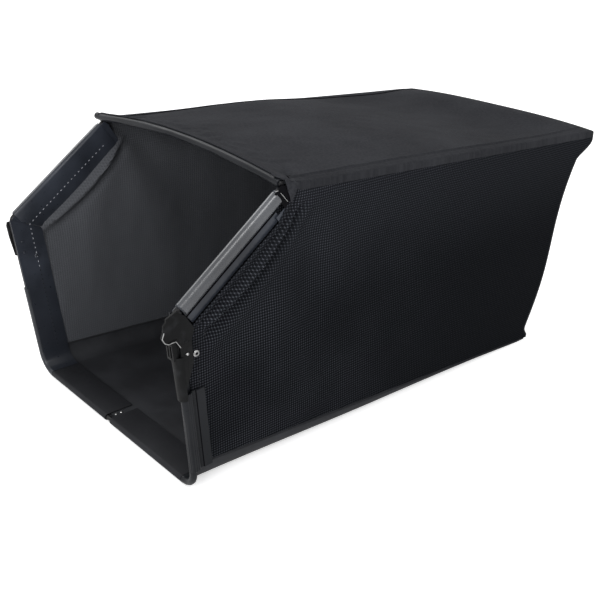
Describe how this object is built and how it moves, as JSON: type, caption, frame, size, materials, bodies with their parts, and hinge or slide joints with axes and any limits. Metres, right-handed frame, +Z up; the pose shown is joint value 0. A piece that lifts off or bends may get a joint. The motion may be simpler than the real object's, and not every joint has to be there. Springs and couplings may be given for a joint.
{
  "type": "mower grass collection bag",
  "caption": "Open-fronted cloth grass bag on a bent steel rod frame, with plastic clip strips round the slanted mouth and a hook bracket on the right side",
  "frame": {"origin": "middle of the footprint of the bounding box, on the ground", "axes": "+X to the bag's right as seen from its mouth, +Y from the mouth to the rear, +Z up; the mouth faces -Y"},
  "size_m": [0.405, 0.7816, 0.3735],
  "materials": {
    "rod": "satin black paint",
    "strip": "extruded black PVC, semi-gloss",
    "bracket": "moulded black nylon, fine grain",
    "rivet": "zinc-plated",
    "top_cloth": "tight woven polyester, charcoal black",
    "netting": "open leno mesh, black",
    "vinyl": "coated smooth cloth, black",
    "tape": "woven binding tape, black"
  },
  "bodies": {
    "root": {"frame_loop": "rod", "top_cross_bar": "rod", "rear_frame": "rod", "top_channel": "strip", "upper_channel_right": "strip", "upper_channel_left": "strip", "lower_channel_right": "strip", "lower_channel_left": "strip", "bottom_channel_right": "strip", "bottom_channel_left": "strip", "hook_bracket_right": "bracket", "hook_bracket_left": "bracket", "bracket_rivet_upper_right": "rivet", "bracket_rivet_upper_left": "rivet", "bracket_rivet_lower_right": "rivet", "bracket_rivet_lower_left": "rivet", "eyelet_right": "rivet", "eyelet_left": "rivet", "floor_rivet_1": "rivet", "floor_rivet_2": "rivet", "top_panel": "top_cloth", "side_panel_right": "netting", "side_panel_left": "netting", "rear_panel": "netting", "floor_panel": "vinyl", "top_binding_right": "tape", "top_binding_left": "tape"}
  },
  "joints": []
}
